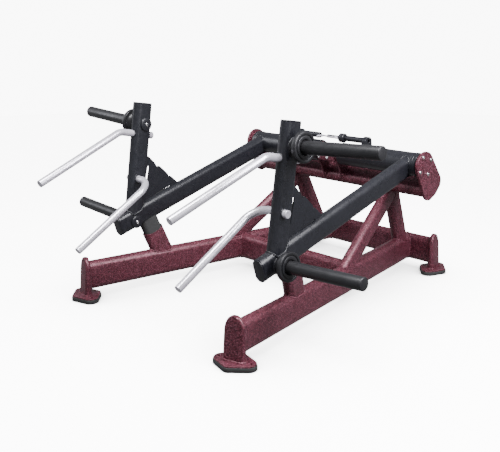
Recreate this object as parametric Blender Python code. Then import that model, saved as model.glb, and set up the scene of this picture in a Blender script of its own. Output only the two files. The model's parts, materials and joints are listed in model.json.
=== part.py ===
"""Plate-loaded lever machine: a welded oval-tube base, a cross axle and two arms that lift on their own.

Metres, +Z up, +X to the user's right, the handles point to -Y. The origin is on the floor, below the
middle of the whole machine. Shapes are laid out from the front feet (y = 0) and moved back by Y_ORIGIN.
"""

import math

import bmesh
import bpy
from mathutils import Vector

# ---- driving dimensions ----
GAP = 0.0003                 # clearance between neighbouring pieces
Y_ORIGIN = 0.6399            # y of the machine's origin, measured from the front feet

RAIL_H = 0.130               # base tubes: flat-oval, height x width x wall
RAIL_W = 0.060
WALL = 0.003
RAIL_Z = 0.106               # centre height of the base tubes
FRONT_RAIL = (0.486, -0.014)  # x, y where a rail's centre line meets its front leg
FRONT_FOOT = (0.481, -0.004)  # centre of a front foot
REAR_FOOT = (0.400, 1.428)   # centre of a rear foot
FRONT_TURN = math.radians(14)  # a front foot faces this much outward
RAIL_SLOPE = -0.166          # the rails come together toward the rear
MID_Y = 0.832                # middle cross member

PAD_T = 0.018                # rubber floor pad
PLATE_T = 0.006              # steel foot plate
FOOT_LONG = 0.090            # half lengths of the lozenge foot
FOOT_SHORT = 0.067
LEG_TOP = 0.190              # top of a foot leg
LEG_BACK = 0.0145            # a leg's flat back is this far behind the foot's centre

BEAM_C = (1.177, 0.485)      # y, z of the cross beam
BEAM_TILT = math.radians(36)
BEAM_H = 0.120
BEAM_W = 0.060
BEAM_X = 0.5117              # half length

FRAME_OVAL_H = 0.088         # uprights and braces
FRAME_OVAL_W = 0.050

AXLE = (1.107, 0.588)        # y, z of the axle
AXLE_R = 0.025
SLEEVE_R = 0.052
SLEEVE_IN = 0.064            # inner end of a sleeve
SLEEVE_OUT = 0.471
RING_OUT = 0.4995
SPACER_OUT = 0.5117
END_PLATE_T = 0.012

ARM_X = 0.445                # the plane of an arm
ARM_H = 0.095
ARM_W = 0.050
ARM_WALL = 0.004
ARM_FRONT = (0.158, 0.312)   # y, z of the arm tube's front end

POST_LOW = (0.241, 0.320)    # y, z of the post's centre line at the lower horn
POST_TOP = (0.3165, 0.845)   # and at its top
UPPER_HORN = (0.312, 0.755)
POST_D = 0.090

HORN_R = 0.025
HORN_TILT = math.radians(3.2)
HORN_TIP_X = 0.856
FLANGE_R = 0.058
FLANGE_X = 0.522             # outer face of the flange

GRIP_R = 0.0155
UPPER_BEND = 0.060           # bend radius of the upper handle, which runs fore and aft through its post
UPPER_STUB = (0.445, 0.361, 0.6990)    # x, y, z of the right bar's rear end, corner and tip
UPPER_CORNER = (0.445, 0.189, 0.7315)
UPPER_TIP = (0.413, -0.232, 0.5655)
LOWER_BEND = 0.075           # the lower handle crosses its post sideways
LOWER_STUB = (0.490, 0.260, 0.5150)
LOWER_CORNER = (0.324, 0.260, 0.5150)
LOWER_TIP = (0.324, -0.131, 0.2810)

STOP_FOOT_Y = 0.399          # where a stop post's centre line enters its rail
STOP_TOP = (0.339, 0.265)    # y, z of the top of the stop post
STOP_H = 0.104               # stop post section, long way fore and aft

PIN_RISE = 0.075             # the lock pin runs this far above the axle
PIN_R = 0.008
GUIDE_R = 0.0135


# ---- scene and materials ----
def clear_scene():
    for obj in list(bpy.data.objects):
        bpy.data.objects.remove(obj, do_unlink=True)


def material(name, colour, roughness, metallic):
    mat = bpy.data.materials.new(name)
    mat.use_nodes = True
    shader = mat.node_tree.nodes["Principled BSDF"]
    shader.inputs["Base Color"].default_value = (*colour, 1.0)
    shader.inputs["Roughness"].default_value = roughness
    shader.inputs["Metallic"].default_value = metallic
    return mat


LOOKS = {
    "maroon": ((0.16, 0.028, 0.045), 0.38, 0.45),
    "black": ((0.016, 0.016, 0.018), 0.36, 0.30),
    "horn": ((0.040, 0.040, 0.043), 0.40, 0.30),
    "bright": ((0.66, 0.64, 0.68), 0.24, 1.0),
    "rubber": ((0.010, 0.010, 0.010), 0.80, 0.0),
    "steel": ((0.45, 0.45, 0.46), 0.35, 1.0),
}


# ---- mesh helpers ----
def make_object(name, bm, look, origin=(0.0, 0.0, 0.0)):
    """Turn a bmesh in machine coordinates into a named object whose origin is at `origin`."""
    bmesh.ops.recalc_face_normals(bm, faces=bm.faces)
    bmesh.ops.translate(bm, verts=bm.verts, vec=-Vector(origin))
    mesh = bpy.data.meshes.new(name)
    bm.to_mesh(mesh)
    bm.free()
    mesh.shade_smooth()
    mesh.set_sharp_from_angle(angle=math.radians(35))
    obj = bpy.data.objects.new(name, mesh)
    obj.location = Vector(origin) - Vector((0.0, Y_ORIGIN, 0.0))
    if look:
        mesh.materials.append(material(name, *LOOKS[look]))
    bpy.context.scene.collection.objects.link(obj)
    return obj


def as_cutter(obj):
    obj.hide_render = True
    obj.display_type = "WIRE"
    return obj


def cut(target, *tools):
    for tool in tools:
        mod = target.modifiers.new("cut_" + tool.name, "BOOLEAN")
        mod.operation = "DIFFERENCE"
        mod.solver = "EXACT"
        mod.object = tool


def weld(target, *parts):
    """Join solids that are welded together into one body."""
    for piece in parts:
        mod = target.modifiers.new("weld_" + piece.name, "BOOLEAN")
        mod.operation = "UNION"
        mod.solver = "EXACT"
        mod.object = as_cutter(piece)


def oval(height, width, steps=10):
    """Points of a flat oval: u runs along the height, v across the width."""
    r = width / 2
    flat = height / 2 - r
    pts = []
    for end, start in ((1, -90), (-1, 90)):
        for i in range(steps + 1):
            a = math.radians(start + 180 * i / steps)
            pts.append((end * flat + r * math.cos(a), r * math.sin(a)))
    return pts


def circle(radius, steps):
    return [(radius * math.cos(2 * math.pi * i / steps), radius * math.sin(2 * math.pi * i / steps))
            for i in range(steps)]


def ring_verts(bm, pts, centre, u_dir, v_dir):
    return [bm.verts.new(centre + u_dir * u + v_dir * v) for u, v in pts]


def join_rings(bm, a, b):
    n = len(a)
    for i in range(n):
        j = (i + 1) % n
        bm.faces.new((a[i], a[j], b[j], b[i]))


def add_bar(bm, outline, p0, p1, u_hint, hole=None):
    """Extrude an outline from p0 to p1; a hole outline makes it a tube with open ends."""
    p0 = Vector(p0)
    p1 = Vector(p1)
    along = (p1 - p0).normalized()
    u_dir = (Vector(u_hint) - along * Vector(u_hint).dot(along)).normalized()
    v_dir = along.cross(u_dir)
    a = ring_verts(bm, outline, p0, u_dir, v_dir)
    b = ring_verts(bm, outline, p1, u_dir, v_dir)
    join_rings(bm, a, b)
    if hole is None:
        bm.faces.new(a)
        bm.faces.new(b)
        return
    c = ring_verts(bm, hole, p0, u_dir, v_dir)
    d = ring_verts(bm, hole, p1, u_dir, v_dir)
    join_rings(bm, c, d)
    join_rings(bm, a, c)
    join_rings(bm, b, d)


def oval_tube(name, p0, p1, u_hint, height, width, wall, look, origin=(0, 0, 0)):
    bm = bmesh.new()
    add_bar(bm, oval(height, width), p0, p1, u_hint, oval(height - 2 * wall, width - 2 * wall))
    return make_object(name, bm, look, origin)


def oval_cutter(name, p0, p1, u_hint, height, width):
    bm = bmesh.new()
    add_bar(bm, oval(height + 2 * GAP, width + 2 * GAP), p0, p1, u_hint)
    return as_cutter(make_object(name, bm, None))


def round_cutter(name, p0, p1, radius, steps=24):
    bm = bmesh.new()
    add_bar(bm, circle(radius, steps), p0, p1, (0.0, 0.3, 1.0))
    return as_cutter(make_object(name, bm, None))


def add_lathe(bm, profile, centre, axis, steps=32, closed=False):
    """Turn a profile of (along, radius) points about an axis; a closed profile makes a ring."""
    centre = Vector(centre)
    axis = Vector(axis).normalized()
    u_dir = axis.orthogonal().normalized()
    v_dir = axis.cross(u_dir)
    rings = []
    for along, radius in profile:
        spot = centre + axis * along
        if radius == 0:
            rings.append([bm.verts.new(spot)])
        else:
            rings.append(ring_verts(bm, circle(radius, steps), spot, u_dir, v_dir))
    pairs = list(zip(rings, rings[1:]))
    if closed:
        pairs.append((rings[-1], rings[0]))
    for a, b in pairs:
        if len(a) == 1:
            a, b = b, a
        if len(b) == 1:
            for i in range(steps):
                bm.faces.new((a[i], a[(i + 1) % steps], b[0]))
        else:
            join_rings(bm, a, b)


def lathe(name, profile, centre, axis, look, steps=32, closed=False, origin=(0, 0, 0)):
    bm = bmesh.new()
    add_lathe(bm, profile, centre, axis, steps, closed)
    return make_object(name, bm, look, origin)


def add_plate(bm, outline, x0, x1):
    """A flat plate between two x planes; the outline is in y, z."""
    a = [bm.verts.new((x0, y, z)) for y, z in outline]
    b = [bm.verts.new((x1, y, z)) for y, z in outline]
    join_rings(bm, a, b)
    bm.faces.new(a)
    bm.faces.new(b)


def rounded_hull(corners, steps=8):
    """Outline around circles (x, y, radius) given counter-clockwise."""
    pts = []
    n = len(corners)
    for i in range(n):
        x, y, r = corners[i]
        normals = []
        for a, b in ((corners[i - 1], corners[i]), (corners[i], corners[(i + 1) % n])):
            dx, dy = b[0] - a[0], b[1] - a[1]
            dist = math.hypot(dx, dy)
            base = math.atan2(dy, dx) - math.pi / 2
            normals.append(base + math.asin((a[2] - b[2]) / dist))
        start, end = normals
        while end < start:
            end += 2 * math.pi
        for k in range(steps + 1):
            t = start + (end - start) * k / steps
            pts.append((x + r * math.cos(t), y + r * math.sin(t)))
    return pts


def rail_x(y):
    """Centre of the right side rail at a distance y from the front."""
    return FRONT_RAIL[0] + RAIL_SLOPE * (y - FRONT_RAIL[1])


# ---- base ----
def foot_outline(grow=0.0):
    """Lozenge with round corners, long way along u."""
    a = FOOT_LONG + grow - 0.034
    b = FOOT_SHORT + grow - 0.026
    return rounded_hull([(a, 0, 0.034), (0, b, 0.026), (-a, 0, 0.034), (0, -b, 0.026)], 6)


def foot(name, centre, out_dir):
    """Domed leg welded to a bolted plate, on a rubber pad; out_dir points away from the member it closes."""
    out = Vector((*out_dir, 0.0)).normalized()
    side = Vector((-out.y, out.x, 0.0))
    base = Vector((*centre, 0.0))
    up = Vector((0, 0, 1))
    rows = ((PAD_T + PLATE_T - 0.002, 0.093, 0.034), (0.080, 0.092, 0.031), (0.134, 0.089, 0.027),
            (0.155, 0.081, 0.0255), (0.170, 0.070, 0.024), (0.182, 0.055, 0.022), (LEG_TOP, 0.032, 0.018))
    leg = bmesh.new()
    last = None
    for z, wide, thick in rows:
        ring = ring_verts(leg, oval(wide, thick, 8), base + out * (thick / 2 - LEG_BACK) + up * z, side, out)
        if last:
            join_rings(leg, last, ring)
        else:
            leg.faces.new(ring)
        last = ring
    leg.faces.new(last)
    leg_obj = make_object("foot_" + name, leg, "maroon")
    plate = bmesh.new()
    add_bar(plate, foot_outline(-0.003), base + up * (PAD_T + GAP), base + up * (PAD_T + PLATE_T), side)
    weld(leg_obj, make_object("weld_plate_" + name, plate, None))
    for s in (-1, 1):
        spot = base + side * s * 0.070
        cut(leg_obj, round_cutter(f"cutter_hole_{name}_{s}", spot + up * 0.01, spot + up * 0.04, 0.005, 12))
    pad = bmesh.new()
    add_bar(pad, foot_outline(), base, base + up * PAD_T, side)
    make_object("floor_pad_" + name, pad, "rubber")


def leg_cutter(name, centre, out_dir):
    """Block that trims a tube along the flat back of a leg."""
    out = Vector((*out_dir, 0.0)).normalized()
    base = Vector((*centre, 0.1))
    bm = bmesh.new()
    outline = [(0.12, 0.12), (-0.12, 0.12), (-0.12, -0.12), (0.12, -0.12)]
    add_bar(bm, outline, base - out * (LEG_BACK + GAP), base + out * 0.08, (0, 0, 1))
    return as_cutter(make_object(name, bm, None))


def feet():
    """The four feet; returns the cutters for the tubes that end on them."""
    leg_cuts = {}
    for label, sx in (("R", 1), ("L", -1)):
        front = ((sx * FRONT_FOOT[0], FRONT_FOOT[1]), (sx * math.sin(FRONT_TURN), -math.cos(FRONT_TURN)))
        rear = ((sx * REAR_FOOT[0], REAR_FOOT[1]), (sx, -RAIL_SLOPE))
        foot("front_" + label, *front)
        foot("rear_" + label, *rear)
        leg_cuts["front_" + label] = leg_cutter("cutter_leg_front_" + label, *front)
        leg_cuts["rear_" + label] = leg_cutter("cutter_leg_rear_" + label, *rear)
    return leg_cuts


def rail_points(sx, grow=0.0):
    start = FRONT_FOOT[1]
    end = REAR_FOOT[1]
    return ((sx * rail_x(start - grow), start - grow, RAIL_Z), (sx * rail_x(end), end, RAIL_Z))


def base_frame(leg_cuts):
    """Side rails and cross members; returns the cutters for what stands on them."""
    up = (0, 0, 1)
    rear_a = (-REAR_FOOT[0], REAR_FOOT[1], RAIL_Z)
    rear_b = (REAR_FOOT[0], REAR_FOOT[1], RAIL_Z)
    rear_cut = oval_cutter("cutter_rear", rear_a, rear_b, up, RAIL_H, RAIL_W)
    rear = oval_tube("rear_cross_member", rear_a, rear_b, up, RAIL_H, RAIL_W, WALL, "maroon")
    cut(rear, leg_cuts["rear_R"], leg_cuts["rear_L"])
    rail_cuts = {}
    for label, sx in (("R", 1), ("L", -1)):
        p0, p1 = rail_points(sx)
        rail = oval_tube("side_rail_" + label, p0, p1, up, RAIL_H, RAIL_W, WALL, "maroon")
        cut(rail, rear_cut, leg_cuts["front_" + label])
        rail_cuts[label] = oval_cutter("cutter_rail_" + label, p0, p1, up, RAIL_H, RAIL_W)
    mid_a = (-rail_x(MID_Y), MID_Y, RAIL_Z)
    mid_b = (rail_x(MID_Y), MID_Y, RAIL_Z)
    member = oval_tube("middle_cross_member", mid_a, mid_b, up, RAIL_H, RAIL_W, WALL, "maroon")
    cut(member, rail_cuts["R"], rail_cuts["L"])
    mid_cut = oval_cutter("cutter_mid", mid_a, mid_b, up, RAIL_H, RAIL_W)
    return rail_cuts, rear_cut, mid_cut


def supports(rail_cuts, rear_cut, mid_cut):
    """Cross beam and, on each side, an upright and a diagonal brace."""
    tilt = Vector((0.0, math.cos(BEAM_TILT), math.sin(BEAM_TILT)))
    beam_a = (-BEAM_X, *BEAM_C)
    beam_b = (BEAM_X, *BEAM_C)
    beam_cut = oval_cutter("cutter_beam", beam_a, beam_b, tilt, BEAM_H, BEAM_W)
    oval_tube("cross_beam", beam_a, beam_b, tilt, BEAM_H, BEAM_W, WALL, "maroon")
    for label, sx in (("R", 1), ("L", -1)):
        top = Vector((sx * rail_x(BEAM_C[0]), *BEAM_C))
        low = Vector((sx * rail_x(1.345), 1.345, RAIL_Z + 0.02))
        fore = Vector((0, 1, 0.5))
        upright = oval_tube("upright_" + label, low, top, fore, FRAME_OVAL_H, FRAME_OVAL_W, WALL, "maroon")
        upright_cut = oval_cutter("cutter_upright_" + label, low, top, fore, FRAME_OVAL_H, FRAME_OVAL_W)
        cut(upright, beam_cut, rail_cuts[label], rear_cut)
        foot_b = Vector((sx * rail_x(0.725), 0.725, 0.110))
        head_b = Vector((sx * rail_x(1.190), 1.190, 0.425))
        brace = oval_tube("brace_" + label, foot_b, head_b, (0, -1, 1), 0.080, 0.046, WALL, "maroon")
        cut(brace, rail_cuts[label], mid_cut, upright_cut, beam_cut)


def end_plate_outline():
    along = Vector((math.cos(BEAM_TILT), math.sin(BEAM_TILT)))
    c = Vector(BEAM_C)
    front = c - along * 0.031
    back = c + along * 0.031
    r = 0.041
    mid = (front + back) / 2 + Vector((along.y, -along.x)) * 0.006
    return rounded_hull([(front.x, front.y, r), (mid.x, mid.y, r), (back.x, back.y, r),
                         (AXLE[0], AXLE[1], 0.063)], 10)


def axle_and_ends():
    y, z = AXLE
    for label, sx in (("R", 1), ("L", -1)):
        x0 = sx * (SPACER_OUT + GAP)
        x1 = sx * (SPACER_OUT + GAP + END_PLATE_T)
        bm = bmesh.new()
        add_plate(bm, end_plate_outline(), x0, x1)
        plate = make_object("end_plate_" + label, bm, "maroon")
        boss = lathe("weld_spacer_" + label, [(RING_OUT + 0.0008, AXLE_R + GAP), (RING_OUT + 0.0008, 0.049),
                                              (SPACER_OUT + 0.002, 0.049), (SPACER_OUT + 0.002, AXLE_R + GAP)],
                     (0, y, z), (sx, 0, 0), None, 36, True)
        weld(plate, boss)
    bm = bmesh.new()
    add_bar(bm, circle(AXLE_R, 32), (-SPACER_OUT, y, z), (SPACER_OUT, y, z), (0, 0, 1),
            circle(AXLE_R - 0.006, 32))
    make_object("axle_shaft", bm, "steel")


def centre_bracket():
    """Hub with two side plates that holds the middle of the axle above the beam."""
    y, z = AXLE
    tilt = Vector((math.cos(BEAM_TILT), math.sin(BEAM_TILT)))
    down = Vector((tilt.y, -tilt.x))
    top = Vector(BEAM_C) - down * (BEAM_W / 2 + GAP)
    rear = top + tilt * 0.029
    beam_front = Vector(BEAM_C) - tilt * (BEAM_H - BEAM_W) / 2
    outline = []
    for k in range(7):
        a = math.radians(192) + (BEAM_TILT + math.pi / 2 - math.radians(192)) * k / 6
        outline.append((beam_front.x + (BEAM_W / 2 + 2 * GAP) * math.cos(a),
                        beam_front.y + (BEAM_W / 2 + 2 * GAP) * math.sin(a)))
    outline.append(tuple(rear))
    for k in range(13):
        a = BEAM_TILT + math.pi * k / 12
        outline.append((y + 0.046 * math.cos(a), z + 0.046 * math.sin(a)))
    front_face = y - 0.046
    hub = [(front_face, z - 0.036), (y + 0.020, z - 0.036), (y + 0.038, z - 0.010), (y + 0.034, z + 0.020),
           (y + 0.016, z + 0.040), (y - 0.014, z + 0.043), (y - 0.034, z + 0.034), (front_face, z + 0.014)]
    bm = bmesh.new()
    add_plate(bm, hub, -0.058, 0.058)
    bracket = make_object("centre_bracket", bm, "maroon")
    for label, sx in (("R", 1), ("L", -1)):
        bm = bmesh.new()
        add_plate(bm, outline, sx * 0.050, sx * 0.060)
        weld(bracket, make_object("weld_plate_" + label, bm, None))
    cut(bracket, round_cutter("cutter_axle", (-0.1, y, z), (0.1, y, z), AXLE_R + GAP, 32))


def stops(rail_cuts):
    """Posts on the rails with rubber saddles that the arms rest on."""
    for label, sx in (("R", 1), ("L", -1)):
        low = Vector((sx * (rail_x(STOP_FOOT_Y) - 0.004), STOP_FOOT_Y, RAIL_Z))
        top = Vector((sx * (ARM_X - 0.008), *STOP_TOP))
        fore = (sx * RAIL_SLOPE, 1.0, 0.0)
        post = oval_tube("stop_post_" + label, low, top, fore, STOP_H, 0.050, WALL, "maroon")
        along = (top - low).normalized()
        saddle_low = top - along * 0.022
        saddle_top = top + along * 0.060
        bm = bmesh.new()
        add_bar(bm, oval(STOP_H - 0.010, 0.052), saddle_low, saddle_top, fore)
        pad = make_object("stop_pad_" + label, bm, "rubber")
        arm_a = (sx * ARM_X, ARM_FRONT[0], ARM_FRONT[1])
        arm_b = (sx * ARM_X, *AXLE)
        bm = bmesh.new()
        add_bar(bm, oval(ARM_H + 0.0008, ARM_W + 0.0008), arm_a, arm_b, (0, 0, 1))
        cut(pad, as_cutter(make_object("cutter_saddle_" + label, bm, None)))
        dip_c = top + along * 0.086
        half = Vector((0.06, 0, 0))
        cut(post, rail_cuts[label], round_cutter("cutter_dip_" + label, dip_c - half, dip_c + half, 0.098, 48))
        body = round_cutter("keep_" + label, dip_c - half, dip_c + half, 0.098 - GAP, 48)
        keep = pad.modifiers.new("round_underside", "BOOLEAN")
        keep.operation = "INTERSECT"
        keep.solver = "EXACT"
        keep.object = body


# ---- arms ----
def horn(name, sx, spot, post_cut, origin):
    """Plate horn with its boss and flange, hollow and open at the post."""
    axis = Vector((sx * math.cos(HORN_TILT), 0, math.sin(HORN_TILT)))
    root = Vector((sx * ARM_X, spot[0], spot[1]))
    tip = (HORN_TIP_X - ARM_X) / math.cos(HORN_TILT)
    face = (FLANGE_X - ARM_X) / math.cos(HORN_TILT)
    bore = HORN_R - 0.004
    profile = [(tip - 0.008, 0), (tip - 0.008, bore), (0.012, bore), (0.012, 0.034), (0.030, 0.035),
               (face - 0.018, 0.048), (face - 0.016, FLANGE_R - 0.002), (face - 0.014, FLANGE_R),
               (face - 0.002, FLANGE_R), (face, FLANGE_R - 0.002), (face, 0.047), (face - 0.003, 0.0455),
               (face - 0.003, 0.0425), (face, 0.041), (face, HORN_R + 0.003), (face - 0.004, HORN_R),
               (tip - 0.0015, HORN_R), (tip, HORN_R - 0.0015), (tip, 0)]
    obj = lathe(name, profile, root, axis, "horn", 28, False, origin)
    cut(obj, post_cut)


def handle(name, sx, points, bend, origin):
    """Round bar from a stub through its post, round one bend to the tip; returns the cutter for its hole."""
    stub, corner, tip = [Vector((sx * x, y, z)) for x, y, z in points]
    first = (corner - stub).normalized()
    last = (tip - corner).normalized()
    angle = first.angle(last)
    inward = (last - first * first.dot(last)).normalized()
    arc_start = corner - first * bend * math.tan(angle / 2)
    centre = arc_start + inward * bend
    path = [(stub, first, GRIP_R - 0.0015), (stub + first * 0.0015, first, GRIP_R)]
    for k in range(9):
        a = angle * k / 8
        spot = centre - inward * bend * math.cos(a) + first * bend * math.sin(a)
        path.append((spot, first * math.cos(a) + inward * math.sin(a), GRIP_R))
    path += [(tip - last * 0.0015, last, GRIP_R), (tip, last, GRIP_R - 0.0015)]
    normal = first.cross(last).normalized()
    bm = bmesh.new()
    rims = [ring_verts(bm, circle(r, 20), spot, normal, along.cross(normal)) for spot, along, r in path]
    for a, b in zip(rims, rims[1:]):
        join_rings(bm, a, b)
    bm.faces.new(rims[0])
    bm.faces.new(rims[-1])
    make_object(name, bm, "bright", origin)
    return round_cutter("cutter_" + name, stub - first * 0.02, stub + first * 0.13, GRIP_R + GAP)


def gusset(name, sx, origin, *tools):
    """Plate between post and arm with a stepped outer edge and two slits along the tubes."""
    steps = [(0.338, 0.606), (0.372, 0.572), (0.379, 0.560), (0.384, 0.549), (0.392, 0.556), (0.401, 0.552),
             (0.437, 0.519), (0.446, 0.510), (0.448, 0.497), (0.456, 0.500), (0.466, 0.495), (0.508, 0.458)]
    inner = [(0.520, 0.400), (0.330, 0.340), (0.250, 0.390), (0.290, 0.600)]
    bm = bmesh.new()
    add_plate(bm, steps + inner, sx * (ARM_X - 0.004), sx * (ARM_X + 0.004))
    plate = make_object(name, bm, "black", origin)
    cut(plate, *tools)
    return plate


def slit_cutter(name, sx, y0, z0, y1, z1, wide):
    bm = bmesh.new()
    d = Vector((y1 - y0, z1 - z0)).normalized()
    n = Vector((-d.y, d.x)) * wide / 2
    outline = [(y0 - n.x, z0 - n.y), (y1 - n.x, z1 - n.y), (y1 + n.x, z1 + n.y), (y0 + n.x, z0 + n.y)]
    add_plate(bm, outline, sx * (ARM_X - 0.01), sx * (ARM_X + 0.01))
    return as_cutter(make_object(name, bm, None))


def arm(label, sx):
    origin = (0.0, *AXLE)
    y, z = AXLE
    up = (0, 0, 1)
    sleeve_cut = round_cutter("cutter_sleeve_" + label, (sx * 0.3, y, z), (sx * 0.49, y, z), SLEEVE_R + GAP, 40)
    lathe("pivot_sleeve_" + label, [(SLEEVE_IN, SLEEVE_R - 0.006), (SLEEVE_IN, SLEEVE_R), (SLEEVE_OUT, SLEEVE_R),
                                    (SLEEVE_OUT, SLEEVE_R - 0.006)],
          (0, y, z), (sx, 0, 0), "black", 40, True, origin)
    lathe("sleeve_end_ring_" + label, [(SLEEVE_OUT + GAP, AXLE_R + 0.0006), (SLEEVE_OUT + GAP, 0.0535),
                                       (RING_OUT - 0.002, 0.0535), (RING_OUT, 0.0515), (RING_OUT, AXLE_R + 0.0006)],
          (0, y, z), (sx, 0, 0), "black", 40, True, origin)
    for end, a, b in (("inner", SLEEVE_IN + 0.004, SLEEVE_IN + 0.030),
                      ("outer", SLEEVE_OUT - 0.030, SLEEVE_OUT - GAP)):
        lathe(f"bearing_{end}_{label}", [(a, AXLE_R + 0.0006), (a, SLEEVE_R - 0.0063), (b, SLEEVE_R - 0.0063),
                                         (b, AXLE_R + 0.0006)],
              (0, y, z), (sx, 0, 0), "steel", 36, True, origin)

    front = Vector((sx * ARM_X, *ARM_FRONT))
    hub = Vector((sx * ARM_X, *AXLE))
    along = (hub - front).normalized()
    tube = oval_tube("arm_tube_" + label, front, hub, up, ARM_H, ARM_W, ARM_WALL, "black", origin)
    arm_cut = oval_cutter("cutter_arm_" + label, front, hub, up, ARM_H, ARM_W)
    cut(tube, sleeve_cut)
    bm = bmesh.new()
    add_bar(bm, oval(ARM_H - 0.002, ARM_W - 0.002), front - along * 0.0063, front - along * GAP, up)
    make_object("arm_end_cap_" + label, bm, "black", origin)

    low = Vector((sx * ARM_X, *POST_LOW))
    top = Vector((sx * ARM_X, *POST_TOP))
    lean = (top - low).normalized()
    fore = (0, 1, 0)
    post = oval_tube("post_tube_" + label, low, top, fore, POST_D, ARM_W, ARM_WALL, "black", origin)
    post_cut = oval_cutter("cutter_post_" + label, low, top, fore, POST_D, ARM_W)
    bm = bmesh.new()
    add_bar(bm, oval(POST_D - 0.001, ARM_W - 0.001), top + lean * GAP, top + lean * 0.0043, fore)
    make_object("post_cap_" + label, bm, "black", origin)

    horn("upper_horn_" + label, sx, UPPER_HORN, post_cut, origin)
    horn("lower_horn_" + label, sx, POST_LOW, arm_cut, origin)
    for level, spot in (("upper", UPPER_HORN), ("lower", POST_LOW)):
        lathe(f"horn_cap_{level}_{label}", [(0, 0), (0, 0.029), (0.004, 0.029), (0.0065, 0.0265), (0.0065, 0.0)],
              (sx * (ARM_X - ARM_W / 2 - GAP), *spot), (-sx, 0, 0), "black", 28, False, origin)

    upper_hole = handle("upper_handle_" + label, sx, (UPPER_STUB, UPPER_CORNER, UPPER_TIP), UPPER_BEND, origin)
    lower_hole = handle("lower_handle_" + label, sx, (LOWER_STUB, LOWER_CORNER, LOWER_TIP), LOWER_BEND, origin)
    cut(post, arm_cut, upper_hole, lower_hole)

    slit_a = slit_cutter("cutter_slit_a_" + label, sx, 0.335, 0.560, 0.312, 0.462, 0.012)
    slit_b = slit_cutter("cutter_slit_b_" + label, sx, 0.372, 0.424, 0.462, 0.451, 0.008)
    gusset("gusset_" + label, sx, origin, post_cut, arm_cut, slit_a, slit_b)


def coupler_lug(name, sx, inner, origin):
    """Half-round lug on a sleeve, welded to a guide tube for the lock pin."""
    y, z = AXLE
    pin_z = z + PIN_RISE
    outline = []
    for k in range(13):
        a = math.pi * k / 12
        outline.append((y + 0.026 * math.cos(a), pin_z - 0.002 + 0.022 * math.sin(a)))
    outline += [(y - 0.030, z + 0.044), (y + 0.030, z + 0.044)]
    bm = bmesh.new()
    add_plate(bm, outline, sx * 0.192, sx * 0.214)
    lug = make_object(name, bm, "black", origin)
    weld(lug, lathe("weld_guide_" + name, [(inner, PIN_R + 0.0006), (inner, GUIDE_R), (0.2, GUIDE_R),
                                           (0.2, PIN_R + 0.0006)],
                    (0, y, pin_z), (sx, 0, 0), None, 24, True))
    cut(lug, round_cutter("cutter_under_" + name, (sx * 0.18, y, z), (sx * 0.23, y, z), SLEEVE_R + GAP, 40),
        round_cutter("cutter_bore_" + name, (sx * 0.18, y, pin_z), (sx * 0.23, y, pin_z), PIN_R + 0.0006))


def coupler():
    """Guides and lugs on the sleeves, and the pin that slides from one to the other."""
    origin = (0.0, *AXLE)
    y, z = AXLE
    pin_z = z + PIN_RISE
    coupler_lug("coupler_lug_R", 1, 0.090, origin)
    coupler_lug("coupler_lug_L", -1, 0.075, origin)
    bm = bmesh.new()
    profile = [(-0.030, 0), (-0.030, PIN_R - 0.001), (-0.029, PIN_R), (0.048, PIN_R), (0.049, 0.020),
               (0.052, 0.0215), (0.074, 0.0215), (0.077, 0.019), (0.078, PIN_R), (0.206, PIN_R), (0.206, 0)]
    add_lathe(bm, profile, (0, y, pin_z), (1, 0, 0), 28)
    make_object("lock_pin", bm, "black", (0.06, y, pin_z))
    wire = bmesh.new()
    ly = y - 0.0245
    lz = pin_z + 0.002
    spots = [(0.0476, y - 0.016, lz), (0.0440, y - 0.016, lz), (0.030, ly - 0.003, lz), (0.010, ly - 0.004, lz + 0.001),
             (-0.030, ly - 0.004, lz + 0.003), (-0.045, ly - 0.004, lz + 0.001), (-0.070, ly - 0.004, lz - 0.006)]
    radii = [0.0035, 0.0035, 0.0035, 0.0035, 0.0040, 0.0065, 0.0065]
    last = None
    for i, spot in enumerate(spots):
        a = Vector(spots[max(i - 1, 0)])
        b = Vector(spots[min(i + 1, len(spots) - 1)])
        along = (b - a).normalized()
        u_dir = Vector((0, 0, 1)) - along * along.z
        u_dir.normalize()
        ring = ring_verts(wire, circle(radii[i], 12), Vector(spot), u_dir, along.cross(u_dir))
        if last:
            join_rings(wire, last, ring)
        else:
            wire.faces.new(ring)
        last = ring
    wire.faces.new(last)
    make_object("pin_pull", wire, "bright", (0.06, y, pin_z))


def main():
    clear_scene()
    leg_cuts = feet()
    rail_cuts, rear_cut, mid_cut = base_frame(leg_cuts)
    supports(rail_cuts, rear_cut, mid_cut)
    axle_and_ends()
    centre_bracket()
    stops(rail_cuts)
    arm("R", 1)
    arm("L", -1)
    coupler()


main()
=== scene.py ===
"""Visual model of the plate-loaded lever machine: detailed pieces, coatings, floor, light and camera.

Metres, +Z up. Shapes are laid out as in the CAD source, with y measured from the front feet, and moved back
by Y_ORIGIN when a piece is made.
"""

import json
import math

import bmesh
import bpy
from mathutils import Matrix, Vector
from mathutils.bvhtree import BVHTree

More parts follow.
